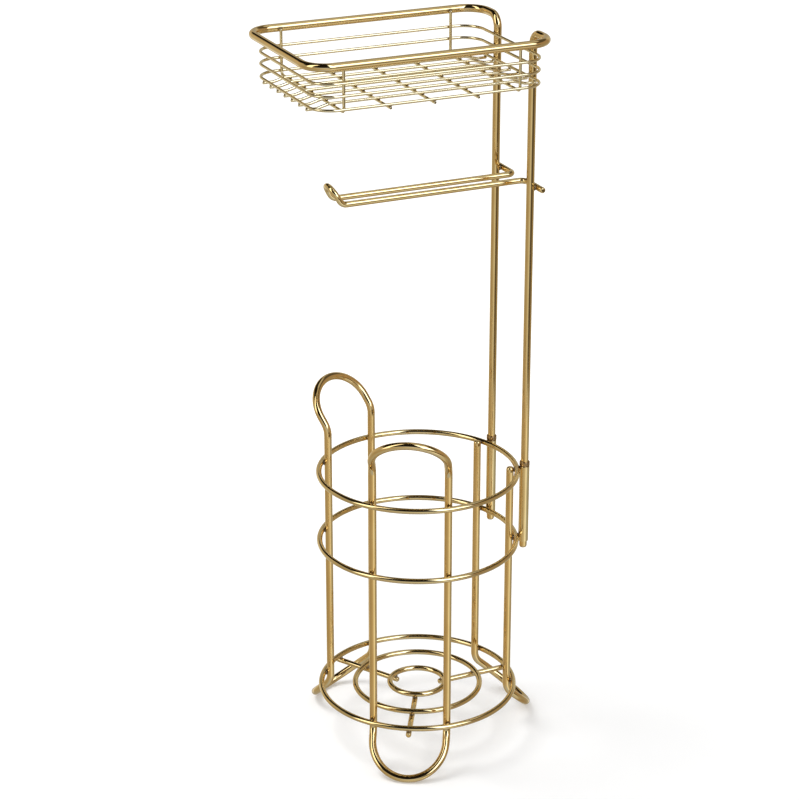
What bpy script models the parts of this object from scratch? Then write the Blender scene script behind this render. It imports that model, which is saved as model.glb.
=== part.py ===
"""Freestanding toilet roll holder, bent and welded from gold plated wire.

The cage stands on three sloping feet and stores the spare rolls. The upper frame, with the shelf
basket and the roll arm, drops into two socket tubes on the cage and lifts straight out of them.
All lengths are in metres. +Z is up, +X points to the pole side and -Y to the front.
"""
import math

import bmesh
import bpy
from mathutils import Vector

# Wire and tube stock
FRAME_WIRE = 0.0062
POLE_WIRE = 0.0063
RING_WIRE = 0.0045
ARM_WIRE = 0.0048
BASKET_WIRE = 0.0023
SOCKET_WALL = 0.0006
WELD_GAP = 0.0003
SLIDING_GAP = 0.0003

# Cage rings, given by their centrelines, and their heights over the base rings
CAGE_RING_RADIUS = 0.0800
BASE_MIDDLE_RADIUS = 0.0518
BASE_INNER_RADIUS = 0.0229
MIDDLE_RING_RISE = 0.1320
TOP_RING_RISE = 0.1924
SPOKE_TAIL = 0.0012

# Three pairs of legs stand a third of a turn apart around the rings
LEG_SPACING = 0.0596
SIDE_ANGLE = 120.0

# Sloping feet: the bend starts this far under the base rings, then a straight run and a bow follow
FOOT_BEND_DROP = 0.0011
FOOT_BEND_RADIUS = 0.0150
FOOT_SLOPE_ANGLE = 42.9
FOOT_STRAIGHT = 0.0026
FOOT_BOW_RISE = 0.0321
FOOT_FLAT_DEPTH = 0.0004

# Leaning carry handles: the bend starts this far over the top ring
HANDLE_BEND_RISE = 0.0238
HANDLE_BEND_RADIUS = 0.0172
HANDLE_LEAN_ANGLE = 36.5
HANDLE_STRAIGHT = 0.0052
HANDLE_BOW_RISE = 0.0265

# Sockets for the poles, from under the middle ring to over the top ring, and the beads on the poles
SOCKET_UNDER_RING = 0.0049
SOCKET_OVER_RING = 0.0011
SOCKET_LIP = 0.0002
POLE_TAIL = 0.0060
BEAD_STEP = 0.0001
BEAD_HEIGHT = 0.0038
BEAD_ROUNDING = 0.0006

# Shelf basket: the rim is one wire with the two poles
RIM_HEIGHT = 0.5505
RIM_LENGTH = 0.1960
RIM_WIDTH = 0.1287
RIM_CORNER_RADIUS = 0.0180
POLE_BEND_RADIUS = 0.0096
RAIL_DROPS = (0.0134, 0.0228, 0.0329)
RAIL_END_INSET = 0.0051
RAIL_CORNER_RADIUS = 0.0175
HOOP_CORNER_RADIUS = 0.0030
HOOP_CORNER_DISTANCE = 0.0041
CROSS_WIRE_COUNT = 5
LONG_WIRE_COUNT = 7
LONG_WIRE_INSET = 0.0204
DIP_START = 0.0040
DIP_RUN = 0.0100
DIP_BEND_RADIUS = 0.0120

# Roll arm: a hairpin under the shelf whose ends turn out behind the poles
ARM_DROP = 0.0873
ARM_REACH = 0.1497
ARM_SPACING = 0.0180
ARM_BEND_RADIUS = 0.0060
CROSSBAR_OVERHANG = 0.0105
TIP_BEND_RADIUS = 0.0067
TIP_LIFT_ANGLE = 60.2
TIP_STRAIGHT = 0.0020

# How finely round shapes are divided
LARGE_RING_STEPS = 64
MIDDLE_RING_STEPS = 48
SMALL_RING_STEPS = 32
BEND_STEPS = 5
SMALL_BEND_STEPS = 3
BOW_STEPS = 14
TURNED_STEPS = 20
HEAVY_BEVEL_STEPS = 3
LIGHT_BEVEL_STEPS = 2
MERGE_DISTANCE = 0.000001
SHARP_EDGE_ANGLE = 50.0


def bend_run(radius, turn):
    """Length from the corner of a bend to the end of its arc, for a turn in degrees."""
    return radius * math.tan(math.radians(turn) / 2)


# Seats and places that follow from the sizes above
HALF_LEG_SPACING = LEG_SPACING / 2
LEG_RADIUS = CAGE_RING_RADIUS - RING_WIRE / 2 - WELD_GAP - FRAME_WIRE / 2
LEG_REACH = math.sqrt(LEG_RADIUS ** 2 - HALF_LEG_SPACING ** 2)
SOCKET_BORE = POLE_WIRE + 2 * SLIDING_GAP
SOCKET_OUTER = SOCKET_BORE + 2 * SOCKET_WALL
SOCKET_RADIUS = CAGE_RING_RADIUS + RING_WIRE / 2 + WELD_GAP + SOCKET_OUTER / 2
POLE_REACH = math.sqrt(SOCKET_RADIUS ** 2 - HALF_LEG_SPACING ** 2)
SOCKET_TOP = TOP_RING_RISE + SOCKET_OVER_RING
SOCKET_BOTTOM = MIDDLE_RING_RISE - SOCKET_UNDER_RING
SOCKET_LENGTH = SOCKET_TOP - SOCKET_BOTTOM
POLE_BOTTOM = SOCKET_BOTTOM - POLE_TAIL
FOOT_BEND_RUN = bend_run(FOOT_BEND_RADIUS, 90.0 - FOOT_SLOPE_ANGLE)
FOOT_CORNER_DROP = FOOT_BEND_DROP + FOOT_BEND_RUN
FOOT_REACH = FOOT_BEND_RUN + FOOT_STRAIGHT + FOOT_BOW_RISE
FOOT_WIRE_DROP = FOOT_CORNER_DROP + FOOT_REACH * math.sin(math.radians(FOOT_SLOPE_ANGLE))
FLOOR_DROP = FOOT_WIRE_DROP + FRAME_WIRE / 2 - FOOT_FLAT_DEPTH
HANDLE_BEND_RUN = bend_run(HANDLE_BEND_RADIUS, HANDLE_LEAN_ANGLE)
TIP_BEND_RUN = bend_run(TIP_BEND_RADIUS, TIP_LIFT_ANGLE)
WIRE_STACK = BASKET_WIRE + WELD_GAP
HOOP_HALF_WIDTH = RIM_WIDTH / 2 - POLE_WIRE / 2 - WELD_GAP - BASKET_WIRE / 2
RAIL_HALF_WIDTH = HOOP_HALF_WIDTH + WIRE_STACK
RAIL_POLE_END = -(POLE_WIRE / 2 + WELD_GAP + BASKET_WIRE / 2)
RAIL_FAR_END = RAIL_END_INSET - RIM_LENGTH
BASKET_MIDDLE = (RAIL_POLE_END + RAIL_FAR_END) / 2
HOOP_SPAN = RAIL_POLE_END - RAIL_FAR_END - 2 * (RAIL_CORNER_RADIUS + HOOP_CORNER_DISTANCE)
CROSS_WIRE_STEP = HOOP_SPAN / (CROSS_WIRE_COUNT - 1)
LONG_WIRE_STEP = 2 * (RAIL_HALF_WIDTH - LONG_WIRE_INSET) / (LONG_WIRE_COUNT - 1)
FLOOR_HEIGHT = RIM_HEIGHT - RAIL_DROPS[-1]
CROSS_HEIGHT = FLOOR_HEIGHT - WIRE_STACK
ARM_HEIGHT = CROSS_HEIGHT - ARM_DROP

# Colour, roughness and metallic value of each finish
FINISHES = {
    "gold_frame_wire": ((0.80, 0.56, 0.27, 1.0), 0.14, 1.0),
    "gold_pole_wire": ((0.80, 0.57, 0.29, 1.0), 0.13, 1.0),
    "gold_ring_wire": ((0.82, 0.62, 0.34, 1.0), 0.12, 1.0),
    "gold_basket_wire": ((0.84, 0.68, 0.42, 1.0), 0.16, 1.0),
    "gold_arm_wire": ((0.81, 0.59, 0.31, 1.0), 0.12, 1.0),
    "gold_socket_tube": ((0.79, 0.56, 0.28, 1.0), 0.15, 1.0),
    "gold_stop_bead": ((0.74, 0.51, 0.25, 1.0), 0.18, 1.0),
}


def clear_scene():
    """Remove the objects of the open scene."""
    for item in list(bpy.data.objects):
        bpy.data.objects.remove(item, do_unlink=True)


def make_finish(name):
    """A bright plated metal for one kind of wire or tube."""
    colour, roughness, metallic = FINISHES[name]
    material = bpy.data.materials.new(name)
    material.use_nodes = True
    shader = material.node_tree.nodes["Principled BSDF"]
    shader.inputs["Base Color"].default_value = colour
    shader.inputs["Roughness"].default_value = roughness
    shader.inputs["Metallic"].default_value = metallic
    return material


def finish(name):
    """The finish of that name, made the first time it is asked for."""
    return bpy.data.materials.get(name) or make_finish(name)


def add_empty(name, location, parent=None):
    """A placing frame, which carries pieces and has no shape."""
    empty = bpy.data.objects.new(name, None)
    bpy.context.scene.collection.objects.link(empty)
    empty.location = location
    empty.parent = parent
    return empty


def add_piece(name, mesh, finish_name, parent, location=(0, 0, 0), turn=0.0):
    """One sub-part of the holder, placed on its carrier."""
    piece = bpy.data.objects.new(name, mesh)
    bpy.context.scene.collection.objects.link(piece)
    piece.parent = parent
    piece.location = location
    piece.rotation_euler = (0, 0, math.radians(turn))
    mesh.materials.clear()
    mesh.materials.append(finish(finish_name))
    return piece


def shade_round(mesh):
    """Smooth round flanks with crisp cut ends."""
    mesh.shade_smooth()
    mesh.set_sharp_from_angle(angle=math.radians(SHARP_EDGE_ANGLE))


def bend(before, corner, after, radius, steps):
    """Points of the arc that rounds one corner of a wire's path."""
    back = (before - corner).normalized()
    ahead = (after - corner).normalized()
    half_angle = back.angle(ahead) / 2
    centre = corner + (back + ahead).normalized() * (radius / math.sin(half_angle))
    start = corner + back * (radius / math.tan(half_angle)) - centre
    end = corner + ahead * (radius / math.tan(half_angle)) - centre
    sweep = math.pi - 2 * half_angle
    points = []
    for step in range(steps + 1):
        angle = sweep * step / steps
        points.append(centre + (start * math.sin(sweep - angle) + end * math.sin(angle)) / math.sin(sweep))
    return points


def bent_path(corners, radii, steps=BEND_STEPS):
    """Straight runs between the corners, with each inner corner rounded to its radius."""
    points = [corners[0]]
    for index, radius in enumerate(radii, start=1):
        points += bend(corners[index - 1], corners[index], corners[index + 1], radius, steps)
    points.append(corners[-1])
    return points


def bow(start, end, rise, steps=BOW_STEPS):
    """Half ellipse between two parallel legs, without its end points."""
    centre = (start + end) / 2
    points = []
    for step in range(1, steps):
        angle = math.pi * step / steps
        points.append(centre + (start - centre) * math.cos(angle) + rise * math.sin(angle))
    return points


def circle(radius, steps):
    """Points of a level ring about its own centre."""
    points = []
    for step in range(steps):
        angle = 2 * math.pi * step / steps
        points.append(Vector((radius * math.cos(angle), radius * math.sin(angle), 0)))
    return points


def wire_mesh(name, points, diameter, bevel=HEAVY_BEVEL_STEPS, closed=False):
    """A round wire swept along the points, with flat cut ends where it is open."""
    curve = bpy.data.curves.new(name, "CURVE")
    curve.dimensions = "3D"
    curve.bevel_depth = diameter / 2
    curve.bevel_resolution = bevel
    curve.use_fill_caps = True
    spline = curve.splines.new("POLY")
    spline.points.add(len(points) - 1)
    for spline_point, point in zip(spline.points, points):
        spline_point.co = (*point, 1)
    spline.use_cyclic_u = closed
    guide = bpy.data.objects.new(name, curve)
    mesh = bpy.data.meshes.new_from_object(guide)
    bpy.data.objects.remove(guide)
    bpy.data.curves.remove(curve)
    body = bmesh.new()
    body.from_mesh(mesh)
    bmesh.ops.remove_doubles(body, verts=body.verts, dist=MERGE_DISTANCE)
    bmesh.ops.recalc_face_normals(body, faces=body.faces)
    body.to_mesh(mesh)
    body.free()
    shade_round(mesh)
    return mesh


def turned_mesh(name, profile):
    """A ring or tube turned about Z from a closed profile of radius and height pairs."""
    body = bmesh.new()
    corners = [body.verts.new((radius, 0, height)) for radius, height in profile]
    edges = []
    for index, corner in enumerate(corners):
        edges.append(body.edges.new((corner, corners[index - 1])))
    bmesh.ops.spin(body, geom=corners + edges, cent=(0, 0, 0), axis=(0, 0, 1), dvec=(0, 0, 0),
                   angle=2 * math.pi, steps=TURNED_STEPS, use_merge=True)
    bmesh.ops.remove_doubles(body, verts=body.verts, dist=MERGE_DISTANCE)
    bmesh.ops.recalc_face_normals(body, faces=body.faces)
    mesh = bpy.data.meshes.new(name)
    body.to_mesh(mesh)
    body.free()
    shade_round(mesh)
    return mesh


def flatten_foot(mesh):
    """Press a small flat into the lowest point of a foot, level with the floor."""
    body = bmesh.new()
    body.from_mesh(mesh)
    everything = body.verts[:] + body.edges[:] + body.faces[:]
    bmesh.ops.bisect_plane(body, geom=everything, dist=MERGE_DISTANCE, plane_co=(0, 0, -FLOOR_DROP),
                           plane_no=(0, 0, -1), clear_outer=True)
    bmesh.ops.holes_fill(body, edges=[edge for edge in body.edges if edge.is_boundary])
    bmesh.ops.recalc_face_normals(body, faces=body.faces)
    body.to_mesh(mesh)
    body.free()
    shade_round(mesh)


def leg_point(side, height):
    """A point on one leg: side is +1 or -1 along the ring, height is over the base rings."""
    return Vector((LEG_REACH, side * HALF_LEG_SPACING, height))


def foot_direction():
    """Down the slope of a foot, away from the cage."""
    slope = math.radians(FOOT_SLOPE_ANGLE)
    return Vector((math.cos(slope), 0, -math.sin(slope)))


def handle_direction():
    """Up the lean of a carry handle, away from the cage."""
    lean = math.radians(HANDLE_LEAN_ANGLE)
    return Vector((math.sin(lean), 0, math.cos(lean)))


def foot_corners(side):
    """The end of a foot's straight run and the corner of its bend, from the floor up."""
    corner = leg_point(side, -FOOT_CORNER_DROP)
    return [corner + foot_direction() * (FOOT_BEND_RUN + FOOT_STRAIGHT), corner]


def handle_corners(side):
    """The corner of a handle's bend and the end of its straight run, going up."""
    corner = leg_point(side, TOP_RING_RISE + HANDLE_BEND_RISE + HANDLE_BEND_RUN)
    return [corner, corner + handle_direction() * (HANDLE_BEND_RUN + HANDLE_STRAIGHT)]


def hairpin_mesh():
    """Two legs in one endless wire, with a carry handle above and a foot below."""
    legs = []
    for side in (1, -1):
        corners = foot_corners(side) + handle_corners(side)
        legs.append(bent_path(corners, [FOOT_BEND_RADIUS, HANDLE_BEND_RADIUS]))
    rear, front = legs
    points = list(rear)
    points += bow(rear[-1], front[-1], handle_direction() * HANDLE_BOW_RISE)
    points += reversed(front)
    points += bow(front[0], rear[0], foot_direction() * FOOT_BOW_RISE)
    mesh = wire_mesh("hairpin", points, FRAME_WIRE, closed=True)
    flatten_foot(mesh)
    return mesh


def pole_side_frame_mesh():
    """The third pair of legs, cut off level with the top ring and joined by its foot."""
    top = TOP_RING_RISE + RING_WIRE / 2
    legs = []
    for side in (1, -1):
        corners = foot_corners(side) + [leg_point(side, top)]
        legs.append(bent_path(corners, [FOOT_BEND_RADIUS]))
    rear, front = legs
    points = list(reversed(rear))
    points += bow(rear[0], front[0], foot_direction() * FOOT_BOW_RISE)
    points += front
    mesh = wire_mesh("pole_side_frame", points, FRAME_WIRE)
    flatten_foot(mesh)
    return mesh


def spoke_mesh():
    """A straight wire under the base rings, from inside the inner one to outside the outer one."""
    height = -(RING_WIRE + WELD_GAP)
    inner = BASE_INNER_RADIUS - RING_WIRE / 2 - SPOKE_TAIL
    outer = CAGE_RING_RADIUS + RING_WIRE / 2 + SPOKE_TAIL
    points = [Vector((inner, 0, height)), Vector((outer, 0, height))]
    return wire_mesh("base_spoke", points, RING_WIRE, LIGHT_BEVEL_STEPS)


def socket_mesh():
    """A tube that takes one pole, with softened mouths."""
    inner = SOCKET_BORE / 2
    outer = SOCKET_OUTER / 2
    profile = [
        (inner, SOCKET_LIP),
        (inner + SOCKET_LIP, 0),
        (outer - SOCKET_LIP, 0),
        (outer, SOCKET_LIP),
        (outer, SOCKET_LENGTH - SOCKET_LIP),
        (outer - SOCKET_LIP, SOCKET_LENGTH),
        (inner + SOCKET_LIP, SOCKET_LENGTH),
        (inner, SOCKET_LENGTH - SOCKET_LIP),
    ]
    return turned_mesh("pole_socket", profile)


def bead_mesh():
    """The collar on a pole that rests on the mouth of its socket."""
    inner = POLE_WIRE / 2 + WELD_GAP
    outer = SOCKET_OUTER / 2 + BEAD_STEP
    profile = [
        (inner, 0),
        (outer - BEAD_ROUNDING, 0),
        (outer, BEAD_ROUNDING),
        (outer, BEAD_HEIGHT - BEAD_ROUNDING),
        (outer - BEAD_ROUNDING, BEAD_HEIGHT),
        (inner, BEAD_HEIGHT),
    ]
    return turned_mesh("stop_bead", profile)


def rim_and_poles_mesh():
    """One wire: up the rear pole, round the shelf rim and down the front pole."""
    half_width = RIM_WIDTH / 2
    corners = []
    for side in (1, -1):
        run = [
            Vector((0, side * HALF_LEG_SPACING, POLE_BOTTOM)),
            Vector((0, side * HALF_LEG_SPACING, RIM_HEIGHT)),
            Vector((0, side * half_width, RIM_HEIGHT)),
            Vector((-RIM_LENGTH, side * half_width, RIM_HEIGHT)),
        ]
        corners += run if side > 0 else reversed(run)
    side_radii = [POLE_BEND_RADIUS, RIM_CORNER_RADIUS, RIM_CORNER_RADIUS]
    points = bent_path(corners, side_radii + side_radii[::-1])
    return wire_mesh("rim_and_poles", points, POLE_WIRE)


def rail_mesh():
    """A closed rectangle of thin wire with rounded corners, which fits outside the hoops."""
    start = Vector((BASKET_MIDDLE, RAIL_HALF_WIDTH, 0))
    corners = [
        start,
        Vector((RAIL_FAR_END, RAIL_HALF_WIDTH, 0)),
        Vector((RAIL_FAR_END, -RAIL_HALF_WIDTH, 0)),
        Vector((RAIL_POLE_END, -RAIL_HALF_WIDTH, 0)),
        Vector((RAIL_POLE_END, RAIL_HALF_WIDTH, 0)),
        start,
    ]
    points = bent_path(corners, [RAIL_CORNER_RADIUS] * 4)[:-1]
    return wire_mesh("rail", points, BASKET_WIRE, LIGHT_BEVEL_STEPS, closed=True)


def hoop_mesh():
    """A cross wire under the floor whose ends rise inside the rails and reach the rim."""
    corners = [
        Vector((0, HOOP_HALF_WIDTH, RIM_HEIGHT)),
        Vector((0, HOOP_HALF_WIDTH, CROSS_HEIGHT)),
        Vector((0, -HOOP_HALF_WIDTH, CROSS_HEIGHT)),
        Vector((0, -HOOP_HALF_WIDTH, RIM_HEIGHT)),
    ]
    points = bent_path(corners, [HOOP_CORNER_RADIUS] * 2, SMALL_BEND_STEPS)
    return wire_mesh("basket_hoop", points, BASKET_WIRE, LIGHT_BEVEL_STEPS)


def cross_wire_mesh():
    """A straight wire across the floor, under the lower rail and the long wires."""
    half_length = RAIL_HALF_WIDTH + BASKET_WIRE / 2
    points = [Vector((0, half_length, 0)), Vector((0, -half_length, 0))]
    return wire_mesh("floor_cross_wire", points, BASKET_WIRE, LIGHT_BEVEL_STEPS)


def long_wire_mesh():
    """A wire along the floor that lies on the cross wires and dips under the lower rail's ends."""
    far_dip = BASKET_MIDDLE - HOOP_SPAN / 2 - DIP_START
    near_dip = BASKET_MIDDLE + HOOP_SPAN / 2 + DIP_START
    far_end = RAIL_FAR_END - BASKET_WIRE / 2
    near_end = RAIL_POLE_END + BASKET_WIRE / 2
    corners = [
        Vector((far_end, 0, -WIRE_STACK)),
        Vector((far_dip - DIP_RUN, 0, -WIRE_STACK)),
        Vector((far_dip, 0, 0)),
        Vector((near_dip, 0, 0)),
        Vector((near_dip + DIP_RUN, 0, -WIRE_STACK)),
        Vector((near_end, 0, -WIRE_STACK)),
    ]
    points = bent_path(corners, [DIP_BEND_RADIUS] * 4, SMALL_BEND_STEPS)
    return wire_mesh("floor_long_wire", points, BASKET_WIRE, LIGHT_BEVEL_STEPS)


def roll_arm_mesh():
    """A long hairpin that carries the roll, with its closed tip turned up."""
    crossbar = POLE_WIRE / 2 + WELD_GAP + ARM_WIRE / 2
    lift = math.radians(TIP_LIFT_ANGLE)
    tip_direction = Vector((-math.cos(lift), 0, math.sin(lift)))
    sides = []
    for side in (1, -1):
        tip_corner = Vector((-ARM_REACH, side * ARM_SPACING / 2, 0))
        corners = [
            Vector((crossbar, side * (HALF_LEG_SPACING + CROSSBAR_OVERHANG), 0)),
            Vector((crossbar, side * ARM_SPACING / 2, 0)),
            tip_corner,
            tip_corner + tip_direction * (TIP_BEND_RUN + TIP_STRAIGHT),
        ]
        sides.append(bent_path(corners, [ARM_BEND_RADIUS, TIP_BEND_RADIUS]))
    rear, front = sides
    points = list(rear)
    points += bow(rear[-1], front[-1], tip_direction * (ARM_SPACING / 2))
    points += reversed(front)
    return wire_mesh("roll_arm", points, ARM_WIRE)


def build_cage_rings(cage):
    """Three rings in the floor of the cage and two rings around its legs."""
    rings = (
        ("base_ring_outer", CAGE_RING_RADIUS, 0, LARGE_RING_STEPS),
        ("base_ring_middle", BASE_MIDDLE_RADIUS, 0, MIDDLE_RING_STEPS),
        ("base_ring_inner", BASE_INNER_RADIUS, 0, SMALL_RING_STEPS),
        ("cage_ring_middle", CAGE_RING_RADIUS, MIDDLE_RING_RISE, LARGE_RING_STEPS),
        ("cage_ring_top", CAGE_RING_RADIUS, TOP_RING_RISE, LARGE_RING_STEPS),
    )
    for name, radius, height, steps in rings:
        mesh = wire_mesh(name, circle(radius, steps), RING_WIRE, LIGHT_BEVEL_STEPS, closed=True)
        add_piece(name, mesh, "gold_ring_wire", cage, (0, 0, height))


def build_cage_legs(cage):
    """A spoke under each pair of legs, two hairpins with handles, and the frame by the poles."""
    spoke = spoke_mesh()
    for side, turn in (("pole_side", 0), ("rear", SIDE_ANGLE), ("front", -SIDE_ANGLE)):
        add_piece(f"base_spoke_{side}", spoke, "gold_ring_wire", cage, turn=turn)
    hairpin = hairpin_mesh()
    for name, turn in (("rear_hairpin", SIDE_ANGLE), ("front_hairpin", -SIDE_ANGLE)):
        add_piece(name, hairpin, "gold_frame_wire", cage, turn=turn)
    add_piece("pole_side_frame", pole_side_frame_mesh(), "gold_frame_wire", cage)


def build_sockets(cage):
    """The two tubes outside the rings that take the poles."""
    socket = socket_mesh()
    for name, side in (("rear_pole_socket", 1), ("front_pole_socket", -1)):
        location = (POLE_REACH, side * HALF_LEG_SPACING, SOCKET_BOTTOM)
        add_piece(name, socket, "gold_socket_tube", cage, location)


def build_poles(upper_frame):
    """The rim and pole wire, with a stop bead on each pole."""
    add_piece("rim_and_poles", rim_and_poles_mesh(), "gold_pole_wire", upper_frame)
    bead = bead_mesh()
    for name, side in (("rear_stop_bead", 1), ("front_stop_bead", -1)):
        location = (0, side * HALF_LEG_SPACING, SOCKET_TOP + SLIDING_GAP)
        add_piece(name, bead, "gold_stop_bead", upper_frame, location)


def build_basket(upper_frame):
    """Three rails, two hoops and the wires of the shelf floor."""
    rail = rail_mesh()
    for name, drop in zip(("upper_rail", "middle_rail", "lower_rail"), RAIL_DROPS):
        add_piece(name, rail, "gold_basket_wire", upper_frame, (0, 0, RIM_HEIGHT - drop))
    hoop = hoop_mesh()
    cross_wire = cross_wire_mesh()
    last = CROSS_WIRE_COUNT - 1
    for index in range(CROSS_WIRE_COUNT):
        place = BASKET_MIDDLE + CROSS_WIRE_STEP * (index - last / 2)
        if index in (0, last):
            name = "basket_hoop_far_end" if index == 0 else "basket_hoop_pole_end"
            add_piece(name, hoop, "gold_basket_wire", upper_frame, (place, 0, 0))
        else:
            name = f"floor_cross_wire_{index}"
            add_piece(name, cross_wire, "gold_basket_wire", upper_frame, (place, 0, CROSS_HEIGHT))
    long_wire = long_wire_mesh()
    for index in range(LONG_WIRE_COUNT):
        place = LONG_WIRE_STEP * (index - (LONG_WIRE_COUNT - 1) / 2)
        name = f"floor_long_wire_{index + 1}"
        add_piece(name, long_wire, "gold_basket_wire", upper_frame, (0, place, FLOOR_HEIGHT))


def build_roll_arm(upper_frame):
    """The arm across the outer side of both poles."""
    add_piece("roll_arm", roll_arm_mesh(), "gold_arm_wire", upper_frame, (0, 0, ARM_HEIGHT))


def footprint_middle():
    """The middle of the room that all pieces take up, seen from above."""
    bpy.context.view_layer.update()
    corners = []
    for piece in bpy.data.objects:
        if piece.type == "MESH":
            corners += [piece.matrix_world @ vertex.co for vertex in piece.data.vertices]
    along = [corner.x for corner in corners]
    across = [corner.y for corner in corners]
    return Vector((min(along) + max(along), min(across) + max(across), 0)) / 2


def build_holder():
    """The whole holder, standing on the floor with its footprint centred on the origin."""
    clear_scene()
    holder = add_empty("holder", (0, 0, FLOOR_DROP))
    cage = add_empty("cage", (0, 0, 0), holder)
    upper_frame = add_empty("upper_frame_lift", (POLE_REACH, 0, 0), holder)
    build_cage_rings(cage)
    build_cage_legs(cage)
    build_sockets(cage)
    build_poles(upper_frame)
    build_basket(upper_frame)
    build_roll_arm(upper_frame)
    holder.location -= footprint_middle()
    bpy.context.view_layer.update()


build_holder()
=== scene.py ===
# %% [markdown]
# # A freestanding toilet roll holder in gold wire
# The real holder is bent from round steel wire, spot welded and then plated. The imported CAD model
# gives every wire its place and size. This script puts the finished wires in the same places, with
# rounder sections, softened ends, weld nuggets and a plated surface, and sets up a plain studio.
# All lengths are in metres.

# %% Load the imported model
import math

import bmesh
import bpy
from mathutils import Matrix, Vector


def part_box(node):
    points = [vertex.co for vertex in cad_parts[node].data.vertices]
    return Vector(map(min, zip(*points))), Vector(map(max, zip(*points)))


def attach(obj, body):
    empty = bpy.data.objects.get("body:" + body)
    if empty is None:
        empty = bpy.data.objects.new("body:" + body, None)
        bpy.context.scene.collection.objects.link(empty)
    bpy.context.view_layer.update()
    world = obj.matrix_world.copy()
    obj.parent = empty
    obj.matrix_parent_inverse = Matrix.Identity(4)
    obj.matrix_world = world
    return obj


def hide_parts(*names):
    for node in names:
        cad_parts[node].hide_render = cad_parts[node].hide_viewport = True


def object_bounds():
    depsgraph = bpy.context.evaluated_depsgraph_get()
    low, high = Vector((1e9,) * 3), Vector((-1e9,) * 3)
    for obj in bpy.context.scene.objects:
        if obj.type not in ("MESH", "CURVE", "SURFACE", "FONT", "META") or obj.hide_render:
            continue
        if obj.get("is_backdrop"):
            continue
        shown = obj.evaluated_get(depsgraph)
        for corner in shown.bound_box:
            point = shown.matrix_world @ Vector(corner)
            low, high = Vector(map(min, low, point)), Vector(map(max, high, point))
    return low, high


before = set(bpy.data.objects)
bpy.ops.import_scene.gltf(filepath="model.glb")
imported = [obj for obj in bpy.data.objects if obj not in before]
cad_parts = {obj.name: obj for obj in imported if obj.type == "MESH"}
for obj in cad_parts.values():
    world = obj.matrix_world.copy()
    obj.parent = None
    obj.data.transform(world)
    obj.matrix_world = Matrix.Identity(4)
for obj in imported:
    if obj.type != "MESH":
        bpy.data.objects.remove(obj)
cad_low, cad_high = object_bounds()
nodes_left = set(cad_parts)
print("CAD box in mm:", [round(1000 * value, 1) for value in (*cad_low, *cad_high)])

# %% [markdown]
# ## The camera
# The photograph looks down at the holder by about twenty degrees through a long lens, which keeps
# the upright wires nearly parallel. Heading is the turn round the vertical, tilt the look down.

# %% Place the camera
CAMERA_PLACE = (-0.76690, -1.65320, 1.03271)
CAMERA_HEADING = -24.666
CAMERA_TILT = 22.084
CAMERA_LENS = 111.166
SENSOR_WIDTH = 36.0
NEAR_CLIP, FAR_CLIP = 0.05, 40.0


def add_object(name, data):
    """A new object with that data, linked to the scene."""
    thing = bpy.data.objects.new(name, data)
    bpy.context.scene.collection.objects.link(thing)
    return thing


camera_data = bpy.data.cameras.new("photo_camera")
camera_data.lens = CAMERA_LENS
camera_data.sensor_width = SENSOR_WIDTH
camera_data.clip_start, camera_data.clip_end = NEAR_CLIP, FAR_CLIP
camera = add_object("photo_camera", camera_data)
camera.location = CAMERA_PLACE
camera.rotation_euler = (math.radians(90 - CAMERA_TILT), 0, math.radians(CAMERA_HEADING))
bpy.context.scene.camera = camera
print("camera looks along", [round(math.degrees(angle), 2) for angle in camera.rotation_euler])

# %% [markdown]
# ## Small helpers for node trees
# Shaders, the world and Geometry Nodes are all node trees. With these helpers the trees below
# read almost like formulas.

# %% Helpers that build node trees
def feed(tree, socket, value):
    """Link the socket to another one, or give it a plain value."""
    if isinstance(value, bpy.types.NodeSocket):
        tree.links.new(value, socket)
    else:
        socket.default_value = value


def add_node(tree, kind, inputs=None, **settings):
    """A node with its settings, and with its inputs linked or set."""
    node = tree.nodes.new(kind)
    for name, value in settings.items():
        setattr(node, name, value)
    for label, value in (inputs or {}).items():
        feed(tree, node.inputs[label], value)
    return node


def maths(tree, operation, first, second=0.0, clamp=False):
    """The result of one Math node."""
    node = add_node(tree, "ShaderNodeMath", {0: first, 1: second}, operation=operation,
                    use_clamp=clamp)
    return node.outputs[0]


def plus(tree, first, second, clamp=False):
    """The sum of two values."""
    return maths(tree, "ADD", first, second, clamp)


def minus(tree, first, second):
    """The first value less the second."""
    return maths(tree, "SUBTRACT", first, second)


def times(tree, first, second):
    """The product of two values."""
    return maths(tree, "MULTIPLY", first, second)


def ramp_between(tree, value, start, end, low=0.0, high=1.0):
    """A soft step: low before start, high after end."""
    inputs = {"Value": value, "From Min": start, "From Max": end, "To Min": low, "To Max": high}
    node = add_node(tree, "ShaderNodeMapRange", inputs, interpolation_type="SMOOTHSTEP")
    return node.outputs["Result"]


def mix_colours(tree, factor, first, second):
    """Two colours mixed by a factor."""
    inputs = {"Factor": factor, "A": first, "B": second}
    return add_node(tree, "ShaderNodeMix", inputs, data_type="RGBA").outputs["Result"]


print("node helpers ready")

# %% [markdown]
# ## The studio
# A bright metal mostly shows the room round it. In the photograph the wires show a dark studio
# overhead and behind the camera, a tall lamp to each side of it, cooler on the right, and a pale
# floor. The world shader paints that room by azimuth round the holder and by elevation.

# %% Name the directions of the room
ROOM_TURN = 24.666

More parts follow.
